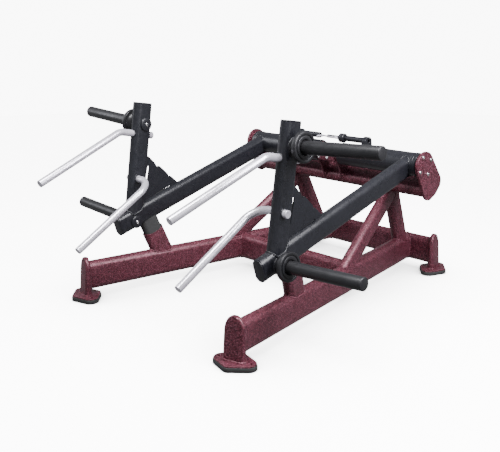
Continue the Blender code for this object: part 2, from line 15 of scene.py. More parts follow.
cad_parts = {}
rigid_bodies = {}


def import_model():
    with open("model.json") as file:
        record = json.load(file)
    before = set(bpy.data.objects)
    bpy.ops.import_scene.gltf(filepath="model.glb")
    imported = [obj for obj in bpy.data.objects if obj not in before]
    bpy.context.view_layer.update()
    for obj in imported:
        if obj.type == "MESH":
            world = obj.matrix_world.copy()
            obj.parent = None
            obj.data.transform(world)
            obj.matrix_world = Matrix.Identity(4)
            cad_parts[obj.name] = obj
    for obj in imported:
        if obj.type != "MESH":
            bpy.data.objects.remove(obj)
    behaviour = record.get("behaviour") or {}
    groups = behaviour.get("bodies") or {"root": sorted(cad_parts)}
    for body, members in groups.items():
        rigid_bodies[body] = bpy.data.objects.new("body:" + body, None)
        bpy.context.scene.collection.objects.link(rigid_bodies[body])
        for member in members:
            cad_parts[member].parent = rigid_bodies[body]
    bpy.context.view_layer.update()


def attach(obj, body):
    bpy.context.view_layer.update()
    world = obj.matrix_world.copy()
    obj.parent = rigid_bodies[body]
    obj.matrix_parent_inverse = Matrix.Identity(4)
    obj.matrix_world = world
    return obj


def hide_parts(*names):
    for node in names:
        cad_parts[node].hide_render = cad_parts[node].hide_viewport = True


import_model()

# ---- dimensions, as in the CAD source ----
Y_ORIGIN = 0.6399
RAIL_H, RAIL_W, WALL, RAIL_Z = 0.130, 0.060, 0.003, 0.106
FRONT_RAIL = (0.486, -0.014)
FRONT_FOOT = (0.481, -0.004)
REAR_FOOT = (0.400, 1.428)
FRONT_TURN = math.radians(14)
RAIL_SLOPE = -0.166
MID_Y = 0.832
PAD_T, PLATE_T = 0.018, 0.006
FOOT_LONG, FOOT_SHORT = 0.090, 0.067
LEG_TOP, LEG_BACK = 0.190, 0.0145
BEAM_C = (1.177, 0.485)
BEAM_TILT = math.radians(36)
BEAM_H, BEAM_W, BEAM_X = 0.120, 0.060, 0.5117
FRAME_OVAL_H, FRAME_OVAL_W = 0.088, 0.050
AXLE = (1.107, 0.588)
AXLE_R, SLEEVE_R, SLEEVE_IN, SLEEVE_OUT = 0.025, 0.052, 0.064, 0.471
RING_OUT, SPACER_OUT, END_PLATE_T = 0.4995, 0.5117, 0.012
ARM_X, ARM_H, ARM_W, ARM_WALL = 0.445, 0.095, 0.050, 0.004
ARM_FRONT = (0.158, 0.312)
POST_LOW, POST_TOP, POST_D = (0.241, 0.320), (0.3165, 0.845), 0.090
UPPER_HORN = (0.312, 0.755)
HORN_R, HORN_TILT, HORN_TIP_X = 0.025, math.radians(3.2), 0.856
FLANGE_R, FLANGE_X = 0.058, 0.522
GRIP_R = 0.0155
UPPER_BEND, LOWER_BEND = 0.060, 0.075
UPPER_PATH = ((0.445, 0.361, 0.6990), (0.445, 0.189, 0.7315), (0.413, -0.232, 0.5655))
LOWER_PATH = ((0.490, 0.260, 0.5150), (0.324, 0.260, 0.5150), (0.324, -0.131, 0.2810))
STOP_FOOT_Y, STOP_TOP, STOP_H, STOP_W = 0.399, (0.339, 0.265), 0.104, 0.050
PIN_RISE, PIN_R, GUIDE_R = 0.075, 0.008, 0.0135
BRACE_H, BRACE_W = 0.080, 0.046
UPRIGHT_FOOT_Y, BRACE_FOOT, BRACE_HEAD = 1.345, (0.725, 0.110), (1.190, 0.425)
LEG_CROWN_Z, LEG_W, LEG_CROWN_W = 0.125, 0.093, 0.0886
BOLT_HOLE_AT, BOLT_HOLE_R = 0.070, 0.005
HUB_R, HUB_X, BRACKET_X = 0.046, 0.0505, 0.060
LUG_X = (0.192, 0.214)
TOE_START = math.radians(192)
TUBE_BEAD = 0.0038
FLOOR_FLAT, FLOOR_CURVE, FLOOR_TOP = 7.5, 3.0, 14.0
SHARP = 35
PAD_RISE, DIP_R, DIP_UP = 0.060, 0.098, 0.086
SIDES = (("R", 1), ("L", -1))
UP = (0, 0, 1)


# ---- material building ----
def new_material(name):
    mat = bpy.data.materials.new(name)
    mat.use_nodes = True
    tree = mat.node_tree
    return mat, tree, tree.nodes["Principled BSDF"]


def node(tree, kind, **settings):
    made = tree.nodes.new(kind)
    for key, value in settings.items():
        if key in made.inputs:
            made.inputs[key].default_value = value
        else:
            setattr(made, key, value)
    return made


def coords(tree, scale=(1, 1, 1)):
    source = node(tree, "ShaderNodeTexCoord")
    mapping = node(tree, "ShaderNodeMapping")
    mapping.inputs["Scale"].default_value = scale
    tree.links.new(source.outputs["Object"], mapping.inputs["Vector"])
    return mapping.outputs["Vector"]


def noise(tree, vector, scale, detail=3.0, rough=0.55):
    made = node(tree, "ShaderNodeTexNoise", Scale=scale, Detail=detail, Roughness=rough)
    tree.links.new(vector, made.inputs["Vector"])
    return made.outputs["Fac"]


def ramp(tree, factor, stops):
    made = node(tree, "ShaderNodeValToRGB")
    elements = made.color_ramp.elements
    while len(elements) < len(stops):
        elements.new(0.5)
    for element, (position, value) in zip(elements, stops):
        element.position = position
        element.color = value if len(value) == 4 else (*value, 1.0)
    tree.links.new(factor, made.inputs["Fac"])
    return made.outputs["Color"]


def mix(tree, factor, a, b, blend="MIX"):
    made = node(tree, "ShaderNodeMix", data_type="RGBA", blend_type=blend)
    for value, socket in ((factor, made.inputs[0]), (a, made.inputs[6]), (b, made.inputs[7])):
        if hasattr(value, "is_linked"):
            tree.links.new(value, socket)
        else:
            socket.default_value = value
    return made.outputs[2]


def grey(value):
    return (value, value, value, 1.0)


def bump(tree, shader, height, strength, distance):
    made = node(tree, "ShaderNodeBump", Strength=strength, Distance=distance)
    tree.links.new(height, made.inputs["Height"])
    tree.links.new(made.outputs["Normal"], shader.inputs["Normal"])


def edge_wear(tree, vector, low, high):
    """Mask that is bright on convex edges, broken up by noise."""
    geometry = node(tree, "ShaderNodeNewGeometry")
    edges = ramp(tree, geometry.outputs["Pointiness"], ((low, grey(0)), (high, grey(1))))
    patches = ramp(tree, noise(tree, vector, 60, 4), ((0.45, grey(0)), (0.70, grey(1))))
    return mix(tree, 1.0, edges, patches, "MULTIPLY")


def powder_coat(name, dark, light, fleck, fleck_scale, roughness, metallic, grain, peel):
    """Baked powder: a mottled base, metal flecks and an orange-peel skin."""
    mat, tree, shader = new_material(name)
    vector = coords(tree)
    mottle = ramp(tree, noise(tree, vector, grain, 4, 0.65), ((0.38, (*dark, 1)), (0.64, (*light, 1))))
    drift = ramp(tree, noise(tree, vector, 6, 2), ((0.3, grey(0.86)), (0.7, grey(1.08))))
    base = mix(tree, 1.0, mottle, drift, "MULTIPLY")
    cells = node(tree, "ShaderNodeTexVoronoi", Scale=fleck_scale)
    tree.links.new(vector, cells.inputs["Vector"])
    split = node(tree, "ShaderNodeSeparateColor")
    tree.links.new(cells.outputs["Color"], split.inputs["Color"])
    flecks = ramp(tree, split.outputs["Red"], ((0.80, grey(0)), (0.97, grey(1))))
    colour = mix(tree, flecks, base, (*fleck, 1))
    worn = edge_wear(tree, vector, 0.53, 0.62)
    faint = mix(tree, 0.12, grey(0), worn)
    tree.links.new(mix(tree, faint, colour, (*[min(1, c * 2.2 + 0.05) for c in light], 1)),
                   shader.inputs["Base Color"])
    rough = ramp(tree, noise(tree, vector, 45, 3),
                 ((0.25, grey(roughness - 0.06)), (0.75, grey(roughness + 0.07))))
    tree.links.new(rough, shader.inputs["Roughness"])
    shader.inputs["Metallic"].default_value = metallic
    shader.inputs["Specular IOR Level"].default_value = 0.5
    bump(tree, shader, noise(tree, vector, 620, 2), peel, 0.0001)
    return mat


def plated_steel(name, dark, light, roughness, stretch, metallic=1.0):
    """Satin plating with fine lengthwise brushing and handling marks."""
    mat, tree, shader = new_material(name)
    vector = coords(tree, stretch)
    brushed = noise(tree, vector, 420, 4, 0.6)
    cloud = noise(tree, coords(tree), 14, 3)
    tone = ramp(tree, brushed, ((0.30, (*dark, 1)), (0.70, (*light, 1))))
    tree.links.new(mix(tree, 1.0, tone, ramp(tree, cloud, ((0.35, grey(0.93)), (0.65, grey(1.0)))), "MULTIPLY"),
                   shader.inputs["Base Color"])
    shader.inputs["Metallic"].default_value = metallic
    tree.links.new(ramp(tree, cloud, ((0.3, grey(roughness - 0.05)), (0.7, grey(roughness + 0.08)))),
                   shader.inputs["Roughness"])
    bump(tree, shader, brushed, 0.02, 0.0001)
    return mat


def horn_steel(name):
    """Dark coated steel, rubbed lighter where plates slide on."""
    mat, tree, shader = new_material(name)
    vector = coords(tree)
    base = ramp(tree, noise(tree, vector, 260, 4, 0.6),
                ((0.3, (0.011, 0.011, 0.013, 1)), (0.7, (0.021, 0.021, 0.024, 1))))
    rubs = ramp(tree, noise(tree, coords(tree, (60, 8, 60)), 6, 4, 0.7), ((0.58, grey(0)), (0.75, grey(0.35))))
    tree.links.new(mix(tree, rubs, base, (0.06, 0.06, 0.07, 1)), shader.inputs["Base Color"])
    shader.inputs["Metallic"].default_value = 0.35
    tree.links.new(ramp(tree, noise(tree, vector, 30, 3), ((0.3, grey(0.34)), (0.7, grey(0.46)))),
                   shader.inputs["Roughness"])
    bump(tree, shader, noise(tree, vector, 500, 2), 0.06, 0.0001)
    return mat


def rubber(name):
    mat, tree, shader = new_material(name)
    vector = coords(tree)
    tree.links.new(ramp(tree, noise(tree, vector, 300, 5, 0.7), ((0.3, (0.010, 0.010, 0.010, 1)),
                                                                (0.75, (0.026, 0.026, 0.027, 1)))),
                   shader.inputs["Base Color"])
    tree.links.new(ramp(tree, noise(tree, vector, 60, 3), ((0.3, grey(0.62)), (0.7, grey(0.82)))),
                   shader.inputs["Roughness"])
    bump(tree, shader, noise(tree, vector, 700, 3, 0.7), 0.35, 0.0005)
    return mat


def floor_material():
    mat, tree, shader = new_material("studio_floor")
    vector = coords(tree)
    tree.links.new(ramp(tree, noise(tree, vector, 3, 4), ((0.3, grey(0.86)), (0.7, grey(0.88)))),
                   shader.inputs["Base Color"])
    shader.inputs["Roughness"].default_value = 0.75
    # Painted contact shadow: ambient occlusion darkens the floor's glow under and around the machine.
    painted_contact_shadow = node(tree, "ShaderNodeAmbientOcclusion", samples=8, Distance=0.60)
    tree.links.new(ramp(tree, painted_contact_shadow.outputs["AO"], ((0.30, grey(0.10)), (0.97, grey(1.0)))),
                   shader.inputs["Emission Color"])
    shader.inputs["Emission Strength"].default_value = 9.0
    return mat


MATS = {}


def make_materials():
    """The coats by the names the pieces ask for."""
    MATS["maroon"] = powder_coat("maroon_metallic_coat", (0.024, 0.0025, 0.006), (0.115, 0.022, 0.036),
                                 (0.34, 0.130, 0.180), 620, 0.40, 0.35, 150, 0.10)
    MATS["black"] = powder_coat("black_satin_coat", (0.0075, 0.0078, 0.0105), (0.0115, 0.0120, 0.0160),
                                (0.022, 0.023, 0.030), 1100, 0.30, 0.10, 260, 0.05)
    MATS["horn"] = horn_steel("horn_coat")
    MATS["bright"] = plated_steel("satin_plating", (0.62, 0.60, 0.67), (0.72, 0.70, 0.77), 0.26,
                                  (1, 1, 1), 0.55)
    MATS["steel"] = plated_steel("machined_steel", (0.30, 0.30, 0.31), (0.48, 0.48, 0.49), 0.30, (1, 14, 14))
    MATS["screw"] = plated_steel("zinc_screws", (0.62, 0.62, 0.63), (0.85, 0.85, 0.86), 0.22, (1, 1, 1))
    MATS["rubber"] = rubber("moulded_rubber")


# ---- mesh helpers ----
def put(name, bm, look, body, stands_for=(), sharp=SHARP, bevel=0.0, segments=3):
    """Make a piece from a bmesh laid out from the front feet."""
    bmesh.ops.recalc_face_normals(bm, faces=bm.faces)
    bmesh.ops.translate(bm, verts=bm.verts, vec=(0, -Y_ORIGIN, 0))
    mesh = bpy.data.meshes.new(name)
    bm.to_mesh(mesh)
    bm.free()
    mesh.shade_smooth()
    mesh.set_sharp_from_angle(angle=math.radians(sharp))
    mesh.materials.append(MATS[look])
    obj = bpy.data.objects.new(name, mesh)
    bpy.context.scene.collection.objects.link(obj)
    if bevel:
        mod = obj.modifiers.new("edges", "BEVEL")
        mod.width = bevel
        mod.segments = segments
        mod.limit_method = "ANGLE"
        mod.angle_limit = math.radians(30)
        mod.harden_normals = True
    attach(obj, body)
    if stands_for:
        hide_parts(*stands_for)
    return obj


def tool(bm):
    """A hidden cutting shape, used once and removed."""
    bmesh.ops.recalc_face_normals(bm, faces=bm.faces)
    bmesh.ops.translate(bm, verts=bm.verts, vec=(0, -Y_ORIGIN, 0))
    mesh = bpy.data.meshes.new("tool")
    bm.to_mesh(mesh)
    bm.free()
    obj = bpy.data.objects.new("tool", mesh)
    bpy.context.scene.collection.objects.link(obj)
    return obj


def carve(obj, cutter):
    """Cut a shape out of a piece's mesh and drop the cutter."""
    held = list(obj.modifiers)
    for mod in held:
        mod.show_viewport = False
    mod = obj.modifiers.new("carve", "BOOLEAN")
    mod.operation = "DIFFERENCE"
    mod.solver = "EXACT"
    mod.object = cutter
    graph = bpy.context.evaluated_depsgraph_get()
    graph.update()
    mesh = bpy.data.meshes.new_from_object(obj.evaluated_get(graph))
    obj.modifiers.remove(mod)
    old = obj.data
    obj.data = mesh
    bpy.data.meshes.remove(old)
    mesh.name = obj.name
    mesh.shade_smooth()
    mesh.set_sharp_from_angle(angle=math.radians(SHARP))
    for mod in held:
        mod.show_viewport = True
    bpy.data.objects.remove(cutter, do_unlink=True)


def drill(obj, radius, p0, p1, hint=UP, steps=64):
    """Cut a round hole from p0 to p1."""
    hole = bmesh.new()
    add_bar(hole, circle(radius, steps), p0, p1, hint)
    carve(obj, tool(hole))


def oval(height, width, steps=20, flat_steps=1):
    """Points of a flat oval: u runs along the height, v across the width."""
    r = width / 2
    flat = height / 2 - r
    pts = []
    for end, start in ((1, -90), (-1, 90)):
        for i in range(steps + 1):
            a = math.radians(start + 180 * i / steps)
            pts.append((end * flat + r * math.cos(a), r * math.sin(a)))
        for i in range(1, flat_steps):
            pts.append((end * flat * (1 - 2 * i / flat_steps), end * r))
    return pts


def circle(radius, steps):
    return [(radius * math.cos(2 * math.pi * i / steps), radius * math.sin(2 * math.pi * i / steps))
            for i in range(steps)]


def hexagon(across, steps=24):
    """Points of a hexagon, as many as a circle of the same steps has."""
    pts = []
    for i in range(steps):
        a = 2 * math.pi * i / steps
        r = across / 2 / math.cos((a + math.pi / 6) % (math.pi / 3) - math.pi / 6)
        pts.append((r * math.cos(a), r * math.sin(a)))
    return pts


def frame_of(along, hint):
    along = Vector(along).normalized()
    u_dir = (Vector(hint) - along * Vector(hint).dot(along)).normalized()
    return along, u_dir, along.cross(u_dir)


def ring_verts(bm, pts, centre, u_dir, v_dir):
    return [bm.verts.new(centre + u_dir * u + v_dir * v) for u, v in pts]


def join_rings(bm, a, b):
    n = len(a)
    for i in range(n):
        j = (i + 1) % n
        bm.faces.new((a[i], a[j], b[j], b[i]))


def surface(obj):
    """Search tree of a piece, laid out from the front feet like the shapes here."""
    graph = bpy.context.evaluated_depsgraph_get()
    mesh = obj.evaluated_get(graph).to_mesh()
    verts = [v.co + Vector((0, Y_ORIGIN, 0)) for v in mesh.vertices]
    return BVHTree.FromPolygons(verts, [p.vertices[:] for p in mesh.polygons])


def end_ring(outline, end, start, u_dir, v_dir, tree):
    """Points where the tube's walls meet a surface, or its plain end if they miss."""
    along = (end - start).normalized()
    far = (end - start).length
    pts = []
    for u, v in outline:
        root = start + u_dir * u + v_dir * v
        distance = tree.ray_cast(root, along, far * 1.4)[3] if tree else None
        pts.append(root + along * (distance if distance else far))
    return pts


def tube(name, p0, p1, hint, height, width, wall, look, body, on0=None, on1=None):
    """Oval tube for the CAD node of that name; an end given a surface is shaped to it and gets a bead."""
    p0, p1 = Vector(p0), Vector(p1)
    _, u_dir, v_dir = frame_of(p1 - p0, hint)
    outer = oval(height, width)
    inner = [(u * (1 - 2 * wall / height), v * (1 - 2 * wall / width)) for u, v in outer]
    middle = (p0 + p1) / 2
    rings = []
    curves = []
    for pts in (outer, inner):
        a = end_ring(pts, p0, middle, u_dir, v_dir, on0)
        b = end_ring(pts, p1, middle, u_dir, v_dir, on1)
        rings.append((a, b))
        if pts is outer:
            curves = [c for c, on in ((a, on0), (b, on1)) if on]
    bm = bmesh.new()
    (oa, ob), (ia, ib) = rings
    mid_pts = [middle + u_dir * u + v_dir * v for u, v in outer]
    oa, mo, ob, ia, ib = [[bm.verts.new(p) for p in pts] for pts in (oa, mid_pts, ob, ia, ib)]
    join_rings(bm, oa, mo)
    join_rings(bm, mo, ob)
    join_rings(bm, oa, ia)
    join_rings(bm, ob, ib)
    join_rings(bm, ia, ib)
    obj = put(name, bm, look, body, (name,))
    for i, curve in enumerate(curves):
        weld(f"weld_{name}_{i}", curve, TUBE_BEAD, look, body, middle)
    return obj


def resample(points, spacing, closed=True):
    loop = points + [points[0]] if closed else points
    lengths = [0.0]
    for a, b in zip(loop, loop[1:]):
        lengths.append(lengths[-1] + (b - a).length)
    count = max(8, int(lengths[-1] / spacing))
    out = []
    k = 0
    for i in range(count if closed else count + 1):
        want = lengths[-1] * i / count
        while k < len(lengths) - 2 and lengths[k + 1] < want:
            k += 1
        span = lengths[k + 1] - lengths[k]
        t = (want - lengths[k]) / span if span > 1e-9 else 0.0
        out.append(loop[k].lerp(loop[k + 1], t))
    return out


def weld(name, points, radius, look, body, centre=None, closed=True):
    """A rippled bead laid along a line of points."""
    path = resample([Vector(p) for p in points], radius * 0.42, closed)
    n = len(path)
    bm = bmesh.new()
    rings = []
    for i, spot in enumerate(path):
        ahead = path[(i + 1) % n] if closed else path[min(i + 1, n - 1)]
        behind = path[i - 1] if closed else path[max(i - 1, 0)]
        along = (ahead - behind).normalized()
        hint = (spot - centre) if centre is not None else Vector((0.3, 0.5, 0.8))
        if abs(hint.normalized().dot(along)) > 0.98:
            hint = Vector((0.31, 0.52, 0.79))
        _, u_dir, v_dir = frame_of(along, hint)
        size = radius * (1.0 + 0.13 * math.sin(i * 1.45) + 0.05 * math.sin(i * 0.37 + 1.0))
        if not closed:
            size *= min(1.0, 0.35 + 0.3 * min(i, n - 1 - i))
        rings.append(ring_verts(bm, circle(size, 8), spot, u_dir, v_dir))
    for a, b in zip(rings, rings[1:]):
        join_rings(bm, a, b)
    if closed:
        join_nearest(bm, rings[-1], rings[0])
    else:
        bm.faces.new(rings[0])
        bm.faces.new(rings[-1])
    put(name, bm, look, body, (), 80)


def join_nearest(bm, a, b):
    """Close a bead, turning the last ring so that its points face the first ring's."""
    n = len(a)
    shift = min(range(n), key=lambda s: sum((a[i].co - b[(i + s) % n].co).length for i in range(n)))
    join_rings(bm, a, [b[(i + shift) % n] for i in range(n)])


def add_bar(bm, outline, p0, p1, hint, hole=None):
    p0, p1 = Vector(p0), Vector(p1)
    _, u_dir, v_dir = frame_of(p1 - p0, hint)
    a = ring_verts(bm, outline, p0, u_dir, v_dir)
    b = ring_verts(bm, outline, p1, u_dir, v_dir)
    join_rings(bm, a, b)
    if hole is None:
        bm.faces.new(a)
        bm.faces.new(b)
        return
    c = ring_verts(bm, hole, p0, u_dir, v_dir)
    d = ring_verts(bm, hole, p1, u_dir, v_dir)
    join_rings(bm, c, d)
    join_rings(bm, a, c)
    join_rings(bm, b, d)


def add_stack(bm, rows, base, along, hint):
    """Loft of outlines (distance, outline) along a direction, closed at both ends."""
    along, u_dir, v_dir = frame_of(along, hint)
    rings = [ring_verts(bm, pts, Vector(base) + along * d, u_dir, v_dir) for d, pts in rows]
    for a, b in zip(rings, rings[1:]):
        join_rings(bm, a, b)
    bm.faces.new(rings[0])
    bm.faces.new(rings[-1])


def round_rows(thick, edge, shape, steps=3):
    """Rows for a slab with rounded rims; shape(grow) gives the outline grown by that much."""
    turns = [math.pi / 2 * k / steps for k in range(steps + 1)]
    rows = [(edge - edge * math.cos(a), shape(edge * math.sin(a) - edge)) for a in turns]
    return rows + [(thick - d, pts) for d, pts in reversed(rows)]


def add_lathe(bm, profile, centre, axis, steps=64, closed=False):
    centre = Vector(centre)
    axis = Vector(axis).normalized()
    u_dir = axis.orthogonal().normalized()
    v_dir = axis.cross(u_dir)
    rings = []
    for along, radius in profile:
        spot = centre + axis * along
        if radius == 0:
            rings.append([bm.verts.new(spot)])
        else:
            rings.append(ring_verts(bm, circle(radius, steps), spot, u_dir, v_dir))
    pairs = list(zip(rings, rings[1:]))
    if closed:
        pairs.append((rings[-1], rings[0]))
    for a, b in pairs:
        if len(a) == 1:
            a, b = b, a
        if len(b) == 1:
            for i in range(steps):
                bm.faces.new((a[i], a[(i + 1) % steps], b[0]))
        else:
            join_rings(bm, a, b)


def add_plate(bm, outline, x0, x1):
    a = [bm.verts.new((x0, y, z)) for y, z in outline]
    b = [bm.verts.new((x1, y, z)) for y, z in outline]
    join_rings(bm, a, b)
    bm.faces.new(a)
    bm.faces.new(b)


def rounded_hull(corners, steps=14):
    """Outline around circles (x, y, radius) given counter-clockwise."""
    pts = []
    n = len(corners)
    for i in range(n):
        x, y, r = corners[i]
        normals = []
        for a, b in ((corners[i - 1], corners[i]), (corners[i], corners[(i + 1) % n])):
            dx, dy = b[0] - a[0], b[1] - a[1]
            base = math.atan2(dy, dx) - math.pi / 2
            normals.append(base + math.asin((a[2] - b[2]) / math.hypot(dx, dy)))
        start, end = normals
        while end < start:
            end += 2 * math.pi
        for k in range(steps + 1):
            t = start + (end - start) * k / steps
            pts.append((x + r * math.cos(t), y + r * math.sin(t)))
    return pts


def screw(name, centre, axis, radius, height, body):
    """Button-head screw with a hexagon socket."""
    centre = Vector(centre)
    axis, u_dir, v_dir = frame_of(axis, Vector(axis).orthogonal())
    bm = bmesh.new()
    rows = [(-0.001, circle(radius, 24)), (height * 0.35, circle(radius, 24)),
            (height * 0.72, circle(radius * 0.90, 24)), (height * 0.95, circle(radius * 0.70, 24)),
            (height, circle(radius * 0.56, 24)), (height * 0.97, hexagon(radius * 0.92)),
            (height * 0.35, hexagon(radius * 0.86))]
    rings = [ring_verts(bm, pts, centre + axis * d, u_dir, v_dir) for d, pts in rows]
    for a, b in zip(rings, rings[1:]):
        join_rings(bm, a, b)
    bm.faces.new(rings[0])
    bm.faces.new(rings[-1])
    put(name, bm, "screw", body, (), 30)


def rail_x(y):
    return FRONT_RAIL[0] + RAIL_SLOPE * (y - FRONT_RAIL[1])


# ---- base ----
def foot_shape(grow):
    a = FOOT_LONG + grow - 0.034
    b = FOOT_SHORT + grow - 0.026
    return rounded_hull([(a, 0, 0.034), (0, b, 0.026), (-a, 0, 0.034), (0, -b, 0.026)])


def foot(name, centre, out_dir):
    out = Vector((*out_dir, 0.0)).normalized()
    side = Vector((-out.y, out.x, 0.0))
    base = Vector((*centre, 0.0))
    up = Vector(UP)
    node_name = "foot_" + name
    bm = bmesh.new()
    rows = []
    levels = 26
    for i in range(levels + 1):
        z = PAD_T + PLATE_T - 0.002 + (LEG_TOP - PAD_T - PLATE_T + 0.002) * i / levels
        t = max(0.0, (z - LEG_CROWN_Z) / (LEG_TOP - LEG_CROWN_Z))
        wide = LEG_W - 0.004 * (z - 0.022) / 0.11
        if z >= LEG_CROWN_Z:
            wide = LEG_CROWN_W * math.sqrt(max(0.0, 1 - 0.90 * t ** 2.3))
        thick = min(0.034 - 0.0125 * (z - 0.022) / 0.15, wide * 0.9)
        rows.append((z, wide, thick))
    last = None
    for z, wide, thick in rows:
        ring = ring_verts(bm, oval(wide, thick, 14), base + out * (thick / 2 - LEG_BACK) + up * z, side, out)
        if last:
            join_rings(bm, last, ring)
        else:
            bm.faces.new(ring)
        last = ring
    top_centre = bm.verts.new(base + out * (rows[-1][2] / 2 - LEG_BACK) + up * (LEG_TOP + 0.0006))
    for i in range(len(last)):
        bm.faces.new((last[i], last[(i + 1) % len(last)], top_centre))
    leg = put(node_name, bm, "maroon", "frame", (node_name,), sharp=50)
    plate = bmesh.new()
    add_stack(plate, round_rows(PLATE_T - 0.0003, 0.0012, lambda g: foot_shape(g - 0.003)),
              base + up * (PAD_T + 0.0003), up, side)
    plate_obj = put("plate_" + name, plate, "maroon", "frame", ())
    for s in (-1, 1):
        spot = base + side * s * BOLT_HOLE_AT
        drill(plate_obj, BOLT_HOLE_R, spot + up * 0.01, spot + up * 0.04, side, 24)
    pad = bmesh.new()
    add_stack(pad, round_rows(PAD_T, 0.0022, foot_shape), base, up, side)
    put("floor_pad_" + name, pad, "rubber", "frame", ("floor_pad_" + name,))
    z = PAD_T + PLATE_T
    centre_line = base + out * (rows[0][2] / 2 - LEG_BACK) + up * (z + 0.0008)
    pts = [centre_line + side * u + out * v for u, v in oval(rows[0][1] + 0.001, rows[0][2] + 0.001, 14)]
    weld("weld_foot_" + name, pts, 0.0040, "maroon", "frame", centre_line)
    return surface(leg)


def base_frame():
    legs = {}
    for label, sx in SIDES:
        legs["front_" + label] = foot("front_" + label, (sx * FRONT_FOOT[0], FRONT_FOOT[1]),
                                      (sx * math.sin(FRONT_TURN), -math.cos(FRONT_TURN)))
        legs["rear_" + label] = foot("rear_" + label, (sx * REAR_FOOT[0], REAR_FOOT[1]), (sx, -RAIL_SLOPE))
    rear = tube("rear_cross_member", (-REAR_FOOT[0], REAR_FOOT[1], RAIL_Z),
                (REAR_FOOT[0], REAR_FOOT[1], RAIL_Z), UP, RAIL_H, RAIL_W, WALL, "maroon", "frame",
                legs["rear_L"], legs["rear_R"])
    rear_tree = surface(rear)
    rails = {}
    for label, sx in SIDES:
        p0 = (sx * rail_x(FRONT_FOOT[1]), FRONT_FOOT[1], RAIL_Z)
        p1 = (sx * rail_x(REAR_FOOT[1]), REAR_FOOT[1], RAIL_Z)
        rail = tube("side_rail_" + label, p0, p1, UP, RAIL_H, RAIL_W, WALL, "maroon", "frame",
                    legs["front_" + label], rear_tree)
        rails[label] = surface(rail)
    tube("middle_cross_member", (-rail_x(MID_Y), MID_Y, RAIL_Z), (rail_x(MID_Y), MID_Y, RAIL_Z), UP, RAIL_H,
         RAIL_W, WALL, "maroon", "frame", rails["L"], rails["R"])
    return rails


def supports(rails):
    tilt = Vector((0.0, math.cos(BEAM_TILT), math.sin(BEAM_TILT)))
    beam = tube("cross_beam", (-BEAM_X, *BEAM_C), (BEAM_X, *BEAM_C), tilt, BEAM_H, BEAM_W, WALL,
                "maroon", "frame")
    beam_tree = surface(beam)
    for label, sx in SIDES:
        outline = oval(BEAM_H, BEAM_W)
        _, u_dir, v_dir = frame_of((1, 0, 0), tilt)
        rim = Vector((sx * (BEAM_X - 0.001), *BEAM_C))
        weld("weld_beam_end_" + label, [rim + u_dir * u + v_dir * v for u, v in outline], TUBE_BEAD, "maroon",
             "frame", rim)
        top = Vector((sx * rail_x(BEAM_C[0]), *BEAM_C))
        low = Vector((sx * rail_x(UPRIGHT_FOOT_Y), UPRIGHT_FOOT_Y, RAIL_Z + 0.02))
        upright = tube("upright_" + label, low, top, (0, 1, 0.5), FRAME_OVAL_H, FRAME_OVAL_W, WALL, "maroon",
                       "frame", rails[label], beam_tree)
        ends = [Vector((sx * rail_x(at), at, height)) for at, height in (BRACE_FOOT, BRACE_HEAD)]
        tube("brace_" + label, *ends, (0, -1, 1), BRACE_H, BRACE_W, WALL, "maroon", "frame", rails[label],
             surface(upright))


def end_plate_outline():
    along = Vector((math.cos(BEAM_TILT), math.sin(BEAM_TILT)))
    c = Vector(BEAM_C)
    front = c - along * 0.031
    back = c + along * 0.031
    mid = c + Vector((along.y, -along.x)) * 0.006
    return rounded_hull([(front.x, front.y, 0.041), (mid.x, mid.y, 0.041), (back.x, back.y, 0.041),
                         (AXLE[0], AXLE[1], 0.063)], 24)


def axle_and_ends():
    y, z = AXLE
    for label, sx in SIDES:
        bm = bmesh.new()
        add_plate(bm, end_plate_outline(), sx * (SPACER_OUT + 0.0003), sx * (SPACER_OUT + 0.0003 + END_PLATE_T))
        put("end_plate_" + label, bm, "maroon", "frame", ("end_plate_" + label,), bevel=0.0014)
        bm = bmesh.new()
        profile = [(RING_OUT + 0.0008, AXLE_R + 0.0004), (RING_OUT + 0.0008, 0.0475),
                   (RING_OUT + 0.0020, 0.049), (SPACER_OUT + 0.002, 0.049),
                   (SPACER_OUT + 0.002, AXLE_R + 0.0004)]
        add_lathe(bm, profile, (0, y, z), (sx, 0, 0), 72, True)
        put("spacer_" + label, bm, "maroon", "frame", ())
        for k in range(4):
            a = math.radians(30 + 90 * k)
            spot = (sx * (SPACER_OUT + 0.0003 + END_PLATE_T), y + 0.046 * math.cos(a), z + 0.046 * math.sin(a))
            screw(f"end_screw_{label}_{k}", spot, (sx, 0, 0), 0.0078, 0.0050, "frame")
    bm = bmesh.new()
    add_bar(bm, circle(AXLE_R, 64), (-SPACER_OUT, y, z), (SPACER_OUT, y, z), UP, circle(AXLE_R - 0.006, 64))
    put("axle_shaft", bm, "steel", "frame", ("axle_shaft",))


